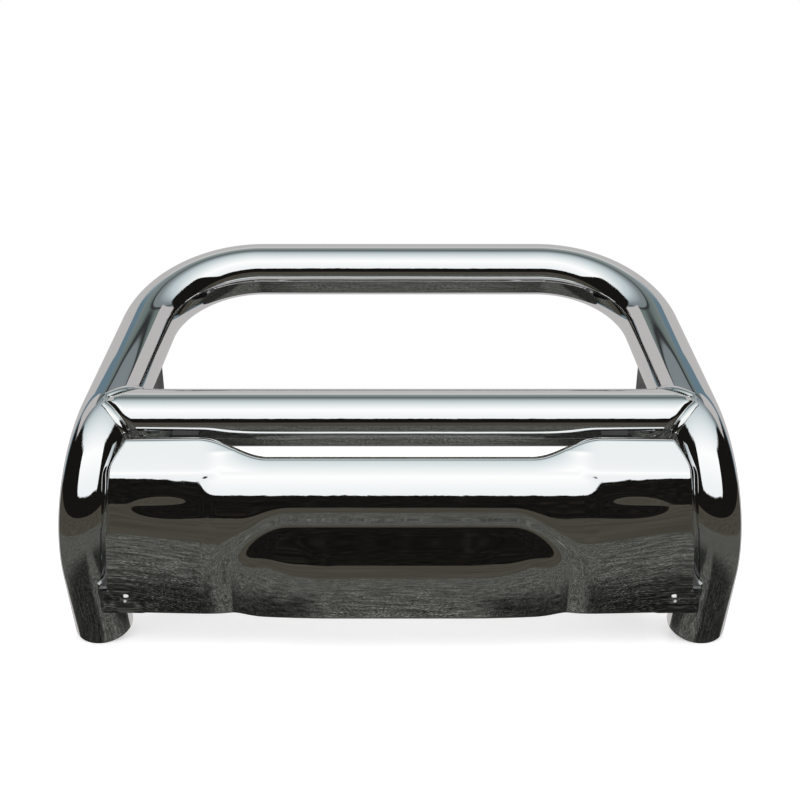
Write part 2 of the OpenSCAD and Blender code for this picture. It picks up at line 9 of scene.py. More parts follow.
import bpy
import bmesh
import numpy as np
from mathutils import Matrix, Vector


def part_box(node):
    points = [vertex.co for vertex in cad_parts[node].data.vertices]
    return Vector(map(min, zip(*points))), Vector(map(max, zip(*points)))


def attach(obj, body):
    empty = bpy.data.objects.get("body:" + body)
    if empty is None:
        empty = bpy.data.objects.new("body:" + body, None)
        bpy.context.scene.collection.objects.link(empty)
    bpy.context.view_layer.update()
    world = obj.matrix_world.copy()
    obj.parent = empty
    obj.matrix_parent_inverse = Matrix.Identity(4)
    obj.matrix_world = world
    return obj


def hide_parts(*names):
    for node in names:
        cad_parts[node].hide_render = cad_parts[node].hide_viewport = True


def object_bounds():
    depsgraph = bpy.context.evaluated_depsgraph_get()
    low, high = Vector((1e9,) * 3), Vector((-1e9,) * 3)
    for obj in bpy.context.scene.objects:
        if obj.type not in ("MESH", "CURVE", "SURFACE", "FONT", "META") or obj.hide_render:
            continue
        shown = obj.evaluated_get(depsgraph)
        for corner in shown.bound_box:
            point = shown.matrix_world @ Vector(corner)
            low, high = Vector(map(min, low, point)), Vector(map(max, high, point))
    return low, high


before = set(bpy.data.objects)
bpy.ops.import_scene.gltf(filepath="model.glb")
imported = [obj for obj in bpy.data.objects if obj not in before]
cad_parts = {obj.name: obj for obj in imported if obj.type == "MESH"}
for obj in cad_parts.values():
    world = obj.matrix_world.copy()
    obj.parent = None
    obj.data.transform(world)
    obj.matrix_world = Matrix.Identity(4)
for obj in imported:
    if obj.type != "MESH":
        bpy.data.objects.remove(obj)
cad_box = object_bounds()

# ---------------------------------------------------------------- sizes, in millimetres
MM = 0.001
TUBE_R = 38.1
WALL = 2.0
HOOP_W_TOP = 685.0
HOOP_W_KNEE = 800.0
HOOP_W_FOOT = 807.0
TOP_RISE = 235.1
TOP_SET = 363.3
FOOT_DROP = 217.7
FOOT_SET = 89.9
CORNER_R = 155.0
KNEE_R = 159.5
CROSS_AT = 0.284

hoop_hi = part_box("main_hoop")[1] / MM
TOP_Y = hoop_hi.y - TUBE_R
TOP_Z = hoop_hi.z - TUBE_R
KNEE_Y = TOP_Y - TOP_SET
KNEE_Z = TOP_Z - TOP_RISE


def unit(v):
    return v / np.linalg.norm(v)


P_TOP = np.array([HOOP_W_TOP / 2, TOP_Y, TOP_Z])
P_KNEE = np.array([HOOP_W_KNEE / 2, KNEE_Y, KNEE_Z])
P_FOOT = np.array([HOOP_W_FOOT / 2, KNEE_Y + FOOT_SET, KNEE_Z - FOOT_DROP])
D_UP = unit(P_TOP - P_KNEE)
D_DN = unit(P_FOOT - P_KNEE)
P_CROSS = P_KNEE + (P_TOP - P_KNEE) * CROSS_AT
MIRROR = np.array([-1.0, 1.0, 1.0])


def half_angle(a, b):
    """Half the angle between two directions."""
    return math.acos(np.clip(a @ b, -1, 1)) / 2


def bend_centre(p, a, b, radius):
    return p + unit(a + b) * radius / math.sin(half_angle(a, b))


def bend_points(p, a, b, radius, step_deg):
    """Points along the bend at p, from the leg along a to the leg along b, both ends included."""
    half = half_angle(a, b)
    centre = bend_centre(p, a, b, radius)
    x = unit(p + a * radius / math.tan(half) - centre)
    y = -a
    turn = math.pi - 2 * half
    n = max(int(math.degrees(turn) / step_deg), 2)
    return [centre + radius * (math.cos(t) * x + math.sin(t) * y) for t in np.linspace(0, turn, n + 1)]


def hoop_axis(step_deg=1.5):
    """The tube axis from the left foot over the top bar to the right foot."""
    right = bend_points(P_TOP, np.array([-1.0, 0, 0]), -D_UP, CORNER_R, step_deg)
    right += bend_points(P_KNEE, D_UP, D_DN, KNEE_R, step_deg)
    right.append(P_FOOT)
    left = [q * MIRROR for q in reversed(right)]
    return np.array(left + right)


def densify(path, gap):
    """The same path with extra points on its long straight runs."""
    out = [path[0]]
    for a, b in zip(path[:-1], path[1:]):
        n = max(int(np.linalg.norm(b - a) / gap), 1)
        out += [a + (b - a) * k / n for k in range(1, n + 1)]
    return np.array(out)


AXIS = hoop_axis()
FINE_AXIS = densify(AXIS, 2.0)

# ---------------------------------------------------------------- skid plate lines
SHEET_T = 2.0
# the face between the legs
PLATE_INSET = 24.0
SIDE_TAPER = 12.0
FACE_SET = 4.5
FACE_R = 396.0
FACE_UP = -2.7
FACE_DIP = 24.0
FACE_TURN = 170.0
# the wing above the crease
CREASE_UP = 81.7
CREASE_SOFT = 3.0
WING_LEAN = 37.0
WING_UP = 37.5
OVER_PART = 0.6
# the rounded, lowered middle of the top edge
MID_UP = 49.5
MID_R = 81.5
MID_STEEP = 58.0
MID_DROP = 23.5
MID_FLAT = 161.0
MID_FULL = 257.0
# the inner run-out of the crease; CAD has 240, 28, 230 and 34 for the first two and last two values here
DART_X = 230.0
DART_W = 22.0
DART_H = 10.0
CREASE_X = 224.0
CREASE_W = 26.0
# a shallow dimple below each wing
DIMPLE_D = 1.0
DIMPLE_X = 291.0
DIMPLE_UP = 42.0
DIMPLE_W = 34.0
DIMPLE_H = 10.0
# the folded edges: lip at the top, hem at the bottom, narrow returns at the sides
LIP_D = 11.0
HEM_D = 5.0
HEM_STOP = 18.0
HEM_RUN = 6.0
SIDE_FOLD_D = 4.0
SIDE_FOLD_UP = 4.0
SIDE_FOLD_RUN = 10.0
SIDE_GROW_UP = 8.0
SIDE_GROW_RUN = 60.0
FOLD_R = 2.6
PLATE_DROP = 106.0
# the pressed boss and the groove round it
BOSS_DROP = 2.0
DROP_AT = 30.0
DROP_RUN = 40.0
FLARE_POWER = 1.7
PANEL_POWER = 0.7
ASIDE_POWER = 1.8
BOSS_W_TOP = 184.0
BOSS_W_LOW = 213.0
BOSS_FLARE = 62.0
BOSS_UP = 14.0
BOSS_CORNER = 46.0
GROOVE_D = 4.0
GROOVE_W = 14.0
GROOVE_IN = 40.0
GROOVE_SIDE = 18.0
BOSS_PROUD = 10.5
BOSS_BLEND = 125.0
CORNER_TURN = 90.0
# the ears, and how the sheet meets the legs
EAR_H = 31.0
EAR_OUT = 9.0
EAR_FROM = 0.93
EAR_RUN = 0.07
SCREW_IN = 24.5
SEAT = 0.3
HUG_SOFT = 1.0
HUG_SHEETS = 1.25
CORNER_IN = 22.0
CORNER_UP = 2.0
CORNER_SHARE = 1.35


KNEE_C = bend_centre(P_KNEE, D_UP, D_DN, KNEE_R)
FRONT_Z = KNEE_C[2]
FRONT_Y = KNEE_C[1] - KNEE_R - TUBE_R
FACE_Y = FRONT_Y + FACE_SET
FACE_Z = FRONT_Z + FACE_UP
CREASE_Z = FACE_Z + CREASE_UP
FOOT_LEAN = math.atan2(FOOT_SET, FOOT_DROP)
BEND_X = unit(P_KNEE + D_UP * KNEE_R / math.tan(half_angle(D_UP, D_DN)) - KNEE_C)
BEND_TURN = math.pi - 2 * half_angle(D_UP, D_DN)


def leg_x(z):
    """X of the right leg axis at a height, on the knee bend or the straight run either side of it."""
    reach = math.hypot(BEND_X[2], D_UP[2])
    t = np.arccos(np.clip((z - KNEE_C[2]) / (KNEE_R * reach), -1, 1)) - math.atan2(D_UP[2], BEND_X[2])
    on_bend = KNEE_C[0] + KNEE_R * (np.cos(t) * BEND_X[0] - np.sin(t) * D_UP[0])
    above = P_KNEE[0] + D_UP[0] * (z - P_KNEE[2]) / D_UP[2]
    below = P_KNEE[0] + D_DN[0] * (z - P_KNEE[2]) / D_DN[2]
    return np.where(t < 0, above, np.where(t > BEND_TURN, below, on_bend))


EDGE_X = float(leg_x(FRONT_Z)) - PLATE_INSET
WING_TOP = CREASE_Z + WING_UP
PLATE_LOW = FACE_Z - PLATE_DROP
BOSS_Z = FACE_Z + BOSS_UP
SCREW_X = EDGE_X - SCREW_IN


def arc_back(r, d):
    return r - np.sqrt(np.maximum(r * r - d * d, 0))


def ease(t):
    t = np.clip(t, 0, 1)
    return t * t * (3 - 2 * t)


def dip(x):
    return FACE_DIP * ease((EDGE_X - np.abs(x)) / FACE_TURN)


def face0(x, z):
    return FACE_Y + arc_back(FACE_R, z - FACE_Z + dip(x))


def soft_ramp(h, r):
    """Ramp of slope 1 above the crease, rounded over r: zero at it, half of r low well away from it."""
    return 0.5 * (h + np.sqrt(h * h + r * r)) - 0.5 * r


def wing_y(x, z):
    h = z - CREASE_Z
    slope0 = np.tan(np.arcsin((CREASE_Z - FACE_Z + dip(x)) / FACE_R))
    low = face0(x, np.minimum(z, CREASE_Z)) + np.maximum(h, 0) * slope0
    return low + soft_ramp(h, CREASE_SOFT) * (math.tan(math.radians(WING_LEAN)) - slope0)


def mid_y(x, z):
    z0 = FACE_Z + MID_UP
    a = np.arcsin((z0 - FACE_Z + dip(x)) / FACE_R)
    cy = face0(x, z0) + MID_R * np.cos(a)
    cz = z0 - MID_R * np.sin(a)
    steep = math.radians(MID_STEEP)
    z1 = cz + MID_R * math.sin(steep)
    on_arc = cy - np.sqrt(np.maximum(MID_R**2 - (np.minimum(z, z1) - cz) ** 2, 0))
    return np.where(z > z0, on_arc + np.maximum(z - z1, 0) * math.tan(steep), face0(x, z))


def wing_share(x):
    return ease((np.abs(x) - MID_FLAT) / (MID_FULL - MID_FLAT))


def dart_share(x):
    return ease((np.abs(x) - DART_X) / DART_W)


def crease_share(x):
    return ease((np.abs(x) - CREASE_X) / CREASE_W)


def share_at(x, z):
    up = ease((z - CREASE_Z + DART_H) / DART_H)
    above = np.clip((z - CREASE_Z) / (OVER_PART * WING_UP), 0, 1)
    top = crease_share(x) + (wing_share(x) - crease_share(x)) * above
    return dart_share(x) + (top - dart_share(x)) * up


def top_at(x):
    return WING_TOP - MID_DROP * (1 - wing_share(x))


def leg_skin(x, z):
    """Y of the front of the leg at a point beside its axis."""
    off = np.minimum(np.abs(np.abs(x) - leg_x(z)), TUBE_R - 1)
    out = KNEE_R + np.sqrt(TUBE_R**2 - off**2)
    low = KNEE_C[2] - out * math.sin(FOOT_LEAN)
    on_bend = KNEE_C[1] - np.sqrt(np.maximum(out**2 - (z - KNEE_C[2]) ** 2, 0))
    below = KNEE_C[1] - out * math.cos(FOOT_LEAN) + (low - z) * math.tan(FOOT_LEAN)
    return np.where(z > low, on_bend, below)


def side_x(z):
    """Half width of the sheet: a slight taper up to the crease, then corners cut in."""
    taper = SIDE_TAPER * np.clip((z - PLATE_LOW) / (CREASE_Z - PLATE_LOW), 0, 1)
    corner = CORNER_IN * ease((z - CREASE_Z - CORNER_UP) / (WING_UP * CORNER_SHARE))
    return EDGE_X - taper - corner


def groove_x(z):
    """Half width of the boss groove, which flares from its top to its foot."""
    left = 1 - np.clip((BOSS_Z - z) / BOSS_FLARE, 0, 1)
    return BOSS_W_LOW - (BOSS_W_LOW - BOSS_W_TOP) * left ** FLARE_POWER


def inside(x, z):
    """Distance inside the boss groove line."""
    a = groove_x(z) - np.abs(x)
    b = BOSS_Z - z
    c = BOSS_CORNER
    corner = c - np.hypot(c - a, c - b)
    return np.where((a < c) & (b < c), corner, np.minimum(a, b))


def boss(x, z):
    """Pressing of the boss along Y: a groove set back and a panel standing proud."""
    s = inside(x, z)
    a = groove_x(z) - np.abs(x)
    b = BOSS_Z - z
    top = ease(0.5 + (a - b) / CORNER_TURN)
    width = np.where(s < 0, GROOVE_W, GROOVE_SIDE + (GROOVE_IN - GROOVE_SIDE) * top)
    down = np.clip((BOSS_Z - z) / (BOSS_Z - PLATE_LOW), 0, 1)
    aside = 1 - np.clip(1 - (BOSS_W_LOW - np.abs(x)) / BOSS_BLEND, 0, 1) ** ASIDE_POWER
    panel = BOSS_PROUD * ease(down ** PANEL_POWER) * aside
    return GROOVE_D * np.exp(-((s / width) ** 2)) - panel


def dimple(x, z):
    across = (np.abs(x) - DIMPLE_X) / DIMPLE_W
    up = (z - FACE_Z - DIMPLE_UP) / DIMPLE_H
    return DIMPLE_D * np.exp(-(across ** 2) - up ** 2)


def free_y(x, z):
    w = share_at(x, z)
    return w * wing_y(x, z) + (1 - w) * mid_y(x, z) + boss(x, z) + dimple(x, z)


def skin(x, z):
    """Front surface of the pressed sheet."""
    f = free_y(x, z)
    hug = leg_skin(x, z) - SEAT - SHEET_T * HUG_SHEETS
    return 0.5 * (f + hug - np.sqrt((f - hug) ** 2 + HUG_SOFT**2))


def low_at(x):
    """Height of the bottom edge, a little lower under the boss."""
    return PLATE_LOW - BOSS_DROP * ease(inside(x, PLATE_LOW + DROP_AT) / DROP_RUN)


# ---------------------------------------------------------------- mesh helpers
def new_object(name, verts, faces):
    """A smooth-shaded mesh object from points in millimetres."""
    mesh = bpy.data.meshes.new(name)
    mesh.from_pydata([tuple(v * MM) for v in verts], [], faces)
    mesh.validate()
    mesh.update()
    mesh.polygons.foreach_set("use_smooth", [True] * len(mesh.polygons))
    obj = bpy.data.objects.new(name, mesh)
    bpy.context.scene.collection.objects.link(obj)
    return obj


def grid_faces(rows, cols, wrap_cols=False, wrap_rows=False):
    """Quads over a grid of points stored row by row, closed round its rows or columns on request."""
    faces = []
    for j in range(rows if wrap_rows else rows - 1):
        for i in range(cols if wrap_cols else cols - 1):
            i2 = (i + 1) % cols
            j2 = (j + 1) % rows
            faces.append((j * cols + i, j * cols + i2, j2 * cols + i2, j2 * cols + i))
    return faces


def frames_along(path):
    """Tangent and two side directions at each point, turned as little as possible along the path."""
    tangents = [unit(path[1] - path[0])]
    for a, b, c in zip(path[:-2], path[1:-1], path[2:]):
        tangents.append(unit(unit(b - a) + unit(c - b)))
    tangents.append(unit(path[-1] - path[-2]))
    side = unit(np.cross(tangents[0], np.array([1.0, 0, 0])))
    out = []
    for t in tangents:
        side = unit(side - t * (side @ t))
        out.append((t, side, np.cross(t, side)))
    return out


def tube_section():
    """Half profile of the tube wall at an end, as (radius, step back from the end)."""
    chamfer = 0.4
    return [(TUBE_R, chamfer * 1.6), (TUBE_R - 0.12, chamfer * 0.5), (TUBE_R - chamfer, 0.0),
            (TUBE_R - WALL + chamfer, 0.0), (TUBE_R - WALL, chamfer)]


def tube_mesh(name, path, sides):
    """A hollow tube with square-cut, slightly broken ends."""
    fr = frames_along(path)
    rings = []

    def ring(centre, k, radius):
        _, u, v = fr[k]
        a = np.linspace(0, 2 * math.pi, sides, endpoint=False)
        return centre + radius * (np.outer(np.cos(a), u) + np.outer(np.sin(a), v))

    last = len(path) - 1
    for r, back in reversed(tube_section()):
        rings.append(ring(path[0] + fr[0][0] * back, 0, r))
    for k in range(1, last):
        rings.append(ring(path[k], k, TUBE_R))
    for r, back in tube_section():
        rings.append(ring(path[last] - fr[last][0] * back, last, r))
    for k in range(last - 1, 0, -1):
        rings.append(ring(path[k], k, TUBE_R - WALL))
    verts = np.concatenate(rings)
    return new_object(name, verts, grid_faces(len(rings), sides, wrap_cols=True, wrap_rows=True))


# ---------------------------------------------------------------- materials
def material(name):
    mat = bpy.data.materials.new(name)
    mat.use_nodes = True
    tree = mat.node_tree
    tree.nodes.clear()
    out = tree.nodes.new("ShaderNodeOutputMaterial")
    return mat, tree, out


def node(tree, kind, inputs=None, **settings):
    n = tree.nodes.new(kind)
    for key, value in settings.items():
        setattr(n, key, value)
    for key, value in (inputs or {}).items():
        if isinstance(value, bpy.types.NodeSocket):
            tree.links.new(value, n.inputs[key])
        else:
            n.inputs[key].default_value = value
    return n


def ramp(tree, fac, stops):
    """Colour of a value between stops of (position, colour)."""
    n = tree.nodes.new("ShaderNodeValToRGB")
    while len(n.color_ramp.elements) < len(stops):
        n.color_ramp.elements.new(1.0)
    for e, (pos, col) in zip(n.color_ramp.elements, stops):
        e.position = pos
        e.color = (*col, 1.0)
    tree.links.new(fac, n.inputs["Fac"])
    return n.outputs["Color"]


def grey(v):
    return (v, v, v)


def math_node(tree, op, a, b=None, clamp=False):
    n = tree.nodes.new("ShaderNodeMath")
    n.operation = op
    n.use_clamp = clamp
    for i, value in enumerate([a] if b is None else [a, b]):
        if isinstance(value, bpy.types.NodeSocket):
            tree.links.new(value, n.inputs[i])
        else:
            n.inputs[i].default_value = value
    return n.outputs[0]


def times(tree, product, *factors):
    """Product of values and sockets."""
    for factor in factors:
        product = math_node(tree, "MULTIPLY", product, factor)
    return product


def span(tree, value, start, end, low=0.0, high=1.0, smooth=True):
    """The value's run from start to end mapped to low to high, eased at both ends when smooth."""
    inputs = {"Value": value, "From Min": start, "From Max": end, "To Min": low, "To Max": high}
    kind = "SMOOTHSTEP" if smooth else "LINEAR"
    return node(tree, "ShaderNodeMapRange", inputs, interpolation_type=kind).outputs[0]


def mix_colour(tree, fac, a, b):
    n = tree.nodes.new("ShaderNodeMix")
    n.data_type = "RGBA"
    for key, value in ((0, fac), (6, a), (7, b)):
        if isinstance(value, bpy.types.NodeSocket):
            tree.links.new(value, n.inputs[key])
        else:
            n.inputs[key].default_value = value
    return n.outputs[2]


def polished_steel(name, colour, roughness, ripple):
    """Mirror-polished stainless: polishing lines, faint dust and the slow ripple of bending or pressing."""
    mat, tree, out = material(name)
    where = node(tree, "ShaderNodeTexCoord").outputs["Object"]
    fine = node(tree, "ShaderNodeMapping", {"Vector": where, "Scale": (90, 900, 900)}).outputs[0]
    lines = node(tree, "ShaderNodeTexNoise", {"Vector": fine, "Scale": 1.0, "Detail": 3.0}).outputs["Fac"]
    dust = node(tree, "ShaderNodeTexNoise", {"Vector": where, "Scale": 42.0, "Detail": 6.0, "Roughness": 0.7})
    dusty = math_node(tree, "MULTIPLY", math_node(tree, "SUBTRACT", dust.outputs["Fac"], 0.56, True), 0.16)
    rough = math_node(tree, "ADD", math_node(tree, "MULTIPLY", lines, roughness), dusty)
    slow = node(tree, "ShaderNodeTexNoise", {"Vector": where, "Scale": 9.0, "Detail": 1.0}).outputs["Fac"]
    bump = node(tree, "ShaderNodeBump", {"Height": slow, "Strength": 1.0, "Distance": ripple}).outputs[0]
    bump = node(tree, "ShaderNodeBump", {"Height": lines, "Strength": 0.02, "Distance": 0.0001,
                                         "Normal": bump}).outputs[0]
    dulled = [c * 0.9 for c in colour]
    tint = mix_colour(tree, times(tree, dusty, 2.0), (*colour, 1), (*dulled, 1))
    bsdf = node(tree, "ShaderNodeBsdfPrincipled", {"Metallic": 1.0, "Base Color": tint, "Roughness": rough,
                                                   "Normal": bump})
    tree.links.new(bsdf.outputs[0], out.inputs[0])
    return mat


def satin_steel(name, colour, low, high, grain):
    """Mill-finish or plated steel: cloudy roughness, brushed grain and small dark marks."""
    mat, tree, out = material(name)
    where = node(tree, "ShaderNodeTexCoord").outputs["Object"]
    cloud = node(tree, "ShaderNodeTexNoise", {"Vector": where, "Scale": 35.0, "Detail": 5.0}).outputs["Fac"]
    long = node(tree, "ShaderNodeMapping", {"Vector": where, "Scale": (60, 60, 1400)}).outputs[0]
    lines = node(tree, "ShaderNodeTexNoise", {"Vector": long, "Scale": 1.0, "Detail": 4.0}).outputs["Fac"]
    both = math_node(tree, "ADD", times(tree, cloud, 0.6), times(tree, lines, 0.4))
    rough = node(tree, "ShaderNodeMapRange", {"Value": both, "From Min": 0.3, "From Max": 0.7,
                                              "To Min": low, "To Max": high}).outputs[0]
    col = ramp(tree, cloud, [(0.25, [c * 0.8 for c in colour]), (0.6, list(colour))])
    bump = node(tree, "ShaderNodeBump", {"Height": lines, "Strength": grain, "Distance": 0.0002}).outputs[0]
    bsdf = node(tree, "ShaderNodeBsdfPrincipled", {"Metallic": 1.0, "Base Color": col, "Roughness": rough,
                                                   "Normal": bump})
    tree.links.new(bsdf.outputs[0], out.inputs[0])
    return mat


def powder_coat(name):
    """Black powder coat: fine orange peel, dust in patches."""
    mat, tree, out = material(name)
    where = node(tree, "ShaderNodeTexCoord").outputs["Object"]
    peel = node(tree, "ShaderNodeTexNoise", {"Vector": where, "Scale": 620.0, "Detail": 2.0}).outputs["Fac"]
    patch = node(tree, "ShaderNodeTexNoise", {"Vector": where, "Scale": 14.0, "Detail": 6.0}).outputs["Fac"]
    col = ramp(tree, patch, [(0.35, (0.006, 0.0055, 0.005)), (0.62, (0.012, 0.0105, 0.0095)),
                             (0.8, (0.024, 0.021, 0.018))])
    rough = node(tree, "ShaderNodeMapRange", {"Value": patch, "From Min": 0.3, "From Max": 0.75,
                                              "To Min": 0.34, "To Max": 0.55}).outputs[0]
    bump = node(tree, "ShaderNodeBump", {"Height": peel, "Strength": 0.25, "Distance": 0.0003}).outputs[0]
    bsdf = node(tree, "ShaderNodeBsdfPrincipled", {"Base Color": col, "Roughness": rough, "Normal": bump})
    tree.links.new(bsdf.outputs[0], out.inputs[0])
    return mat


def black_plastic(name):
    """Moulded black plastic: fine grain, worn in patches."""
    mat, tree, out = material(name)
    where = node(tree, "ShaderNodeTexCoord").outputs["Object"]
    grain = node(tree, "ShaderNodeTexNoise", {"Vector": where, "Scale": 900.0, "Detail": 3.0}).outputs["Fac"]
    wear = node(tree, "ShaderNodeTexNoise", {"Vector": where, "Scale": 40.0, "Detail": 5.0}).outputs["Fac"]
    col = ramp(tree, wear, [(0.3, (0.012, 0.012, 0.012)), (0.75, (0.035, 0.034, 0.033))])
    bump = node(tree, "ShaderNodeBump", {"Height": grain, "Strength": 0.3, "Distance": 0.0002}).outputs[0]
    rough = node(tree, "ShaderNodeMapRange", {"Value": wear, "To Min": 0.45, "To Max": 0.7}).outputs[0]
    bsdf = node(tree, "ShaderNodeBsdfPrincipled", {"Base Color": col, "Roughness": rough, "Normal": bump})
    tree.links.new(bsdf.outputs[0], out.inputs[0])
    return mat


TUBE_STEEL = polished_steel("polished_tube", (0.90, 0.905, 0.905), 0.05, 0.0006)
PLATE_STEEL = polished_steel("polished_plate", (0.90, 0.905, 0.905), 0.05, 0.0004)
WELD_STEEL = polished_steel("polished_weld", (0.88, 0.885, 0.88), 0.16, 0.0010)
TAB_STEEL = satin_steel("tab_steel", (0.60, 0.61, 0.61), 0.22, 0.42, 0.25)
ZINC = satin_steel("zinc_plate", (0.68, 0.69, 0.70), 0.20, 0.38, 0.10)
DARK_TAB_STEEL = satin_steel("dark_tab_steel", (0.07, 0.07, 0.068), 0.30, 0.50, 0.25)
SCREW_STEEL = satin_steel("screw_steel", (0.78, 0.78, 0.77), 0.12, 0.25, 0.10)
BRACKET_BLACK = powder_coat("bracket_black")
PLUG_BLACK = black_plastic("plug_black")


def finish_piece(obj, mat, slot_name, *nodes):
    """Give a piece its material, and hang it on the frame in place of the named CAD nodes; slot_name is not
    used.
    """
    obj.data.materials.clear()
    obj.data.materials.append(mat)
    if nodes:
        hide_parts(*nodes)
    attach(obj, "root")


# ---------------------------------------------------------------- tubes
def make_hoop():
    obj = tube_mesh("hoop_tube", AXIS, sides=128)
    finish_piece(obj, TUBE_STEEL, "main_hoop", "main_hoop")


COPE_FROM = 200.0
COPE_HALVINGS = 22


def leg_distance(points):
    """Distance from each point to the hoop axis."""
    half = FINE_AXIS[FINE_AXIS[:, 0] > 0]
    return np.sqrt(((points[:, None, :] - half[None, :, :]) ** 2).sum(2)).min(1)


def cope_x(radius, angle):
    """X at which the cross tube's line at this angle meets the right leg, found by halving."""
    y = P_CROSS[1] + radius * math.cos(angle)
    z = P_CROSS[2] + radius * math.sin(angle)
    lo, hi = COPE_FROM, P_CROSS[0]
    for _ in range(COPE_HALVINGS):
        mid = (lo + hi) / 2
        if leg_distance(np.array([[mid, y, z]]))[0] > TUBE_R:
            lo = mid
        else:
            hi = mid
    return lo


COPE_ANGLES = np.linspace(0, 2 * math.pi, 128, endpoint=False)
COPE = np.array([cope_x(TUBE_R, a) for a in COPE_ANGLES])


def make_cross_tube():
    def ring(x_end, radius, share):
        return np.stack([x_end * share, P_CROSS[1] + radius * np.cos(COPE_ANGLES),
                         P_CROSS[2] + radius * np.sin(COPE_ANGLES)], 1)

    shares = np.linspace(-1, 1, 41)
    rings = [ring(COPE, TUBE_R, s) for s in shares]
    rings += [ring(COPE, TUBE_R - WALL, s) for s in reversed(shares)]
    obj = new_object("cross_tube_skin", np.concatenate(rings),
                     grid_faces(len(rings), len(COPE_ANGLES), wrap_cols=True, wrap_rows=True))
    finish_piece(obj, TUBE_STEEL, "cross_tube", "cross_tube")


def leg_normal(p):
    i = ((FINE_AXIS - p) ** 2).sum(1).argmin()
    return unit(p - FINE_AXIS[i])


def make_weld(side):
    """Polished fillet bead that follows the cope."""
    bead_leg = 6.0
    bead_rise = 1.5
    sink = 0.3
    steps = 9
    rings = []
    for a, x in zip(COPE_ANGLES, COPE):
        radial = np.array([0, math.cos(a), math.sin(a)])
        p = np.array([x, P_CROSS[1], P_CROSS[2]]) + TUBE_R * radial
        n_leg = leg_normal(p)
        along_leg = unit(radial - n_leg * (radial @ n_leg))
        start = p + along_leg * bead_leg
        i = ((FINE_AXIS - start) ** 2).sum(1).argmin()
        start = FINE_AXIS[i] + unit(start - FINE_AXIS[i]) * (TUBE_R - sink)
        end = p - np.array([bead_leg, 0, 0]) - radial * sink
        bulge = unit(n_leg + radial)
        row = []
        for t in np.linspace(0, 1, steps):
            chord = start + (end - start) * t
            row.append(chord + bulge * bead_rise * math.sin(math.pi * t) ** 0.8)
        rings.append(row + [p - bulge * 1.0])
    verts = np.array(rings).reshape(-1, 3)
    if side < 0:
        verts = verts * MIRROR
    obj = new_object("weld_right" if side > 0 else "weld_left", verts,
                     grid_faces(len(rings), steps + 1, wrap_cols=True, wrap_rows=True))
    finish_piece(obj, WELD_STEEL, "cross_tube")


# ---------------------------------------------------------------- skid plate
def plate_grid(cols=361, rows=200):
    """Rows of (x, z) over the sheet, left to right, from the bottom up, a fold radius inside its edges."""
    u = np.linspace(-1, 1, cols)
    ear_top = PLATE_LOW + EAR_H
    out = []
    for t in np.linspace(0, 1, rows):
        x0 = u * (EDGE_X - FOLD_R)
        low = low_at(x0) + FOLD_R
        high = top_at(x0 * side_x(WING_TOP) / EDGE_X) - FOLD_R
        z = low + (high - low) * t
        k = (side_x(z) - FOLD_R) / (EDGE_X - FOLD_R)
        reach = EAR_OUT * ease((np.abs(u) - EAR_FROM) / EAR_RUN) * (z < ear_top)
        out.append((x0 * k + np.sign(u) * reach, z))
    return out


def sheet_normal(x, z):
    e = 0.4
    sx = (skin(x + e, z) - skin(x - e, z)) / (2 * e)
    sz = (skin(x, z + e) - skin(x, z - e)) / (2 * e)
    n = np.stack([sx, -np.ones_like(sx), sz], -1)
    return n / np.linalg.norm(n, axis=-1, keepdims=True)


def sheet_border(rows, cols):
    """Grid places (row, column) once round the sheet: bottom, right, top, left."""
    border = [(0, i) for i in range(cols)]
    border += [(j, cols - 1) for j in range(1, rows)]
    border += [(rows - 1, i) for i in range(cols - 2, -1, -1)]
    border += [(j, 0) for j in range(rows - 2, 0, -1)]
    return border


def outward_from(pts, normals):
    """Direction off the sheet, in its own face, at each border point."""
    ahead = np.roll(pts, -2, 0) - np.roll(pts, 2, 0)
    ahead /= np.linalg.norm(ahead, axis=1, keepdims=True)
    outward = np.cross(ahead, normals)
    return outward / np.linalg.norm(outward, axis=1, keepdims=True)


def edge_fold(x, z, at_top, at_bottom):
    """Depth of the folded edge at a border point, and the share of its bend that is there."""
    if at_top:
        return LIP_D, 1
    if at_bottom:
        share = ease((SCREW_X - HEM_STOP - abs(x)) / HEM_RUN)
        return HEM_D * share, share
    share = ease((z - FACE_Z - SIDE_FOLD_UP) / SIDE_FOLD_RUN)
    grown = ease((z - FACE_Z - SIDE_GROW_UP) / SIDE_GROW_RUN)
    return share * (SIDE_FOLD_D + (LIP_D - SIDE_FOLD_D) * grown), share


def edge_strips(pts, outward, depth, fold):
    """Lines of points that turn the edge back by a quarter bend and run it on to its depth."""
    back = np.array([0, 1.0, 0])
    strips = []
    for a in np.linspace(0, math.pi / 2, 7)[1:]:
        inward = FOLD_R * (1 - math.cos(a)) * fold[:, None]
        strips.append(pts + outward * FOLD_R * math.sin(a) + back * inward)
    turned = strips[-1]
    for t in (0.25, 0.5, 0.75, 1.0):
        run = np.maximum(depth - FOLD_R, 0.0) * t
        strips.append(turned + back * run[:, None])
    return strips


def strip_faces(inner, count, start):
    """Faces from the border through each strip in turn; the strips' points begin at start."""
    m = len(inner)
    faces = []
    for s in range(count):
        outer = range(start + s * m, start + (s + 1) * m)
        for k in range(m):
            k2 = (k + 1) % m
            faces.append((inner[k2], inner[k], outer[k], outer[k2]))
        inner = outer
    return faces


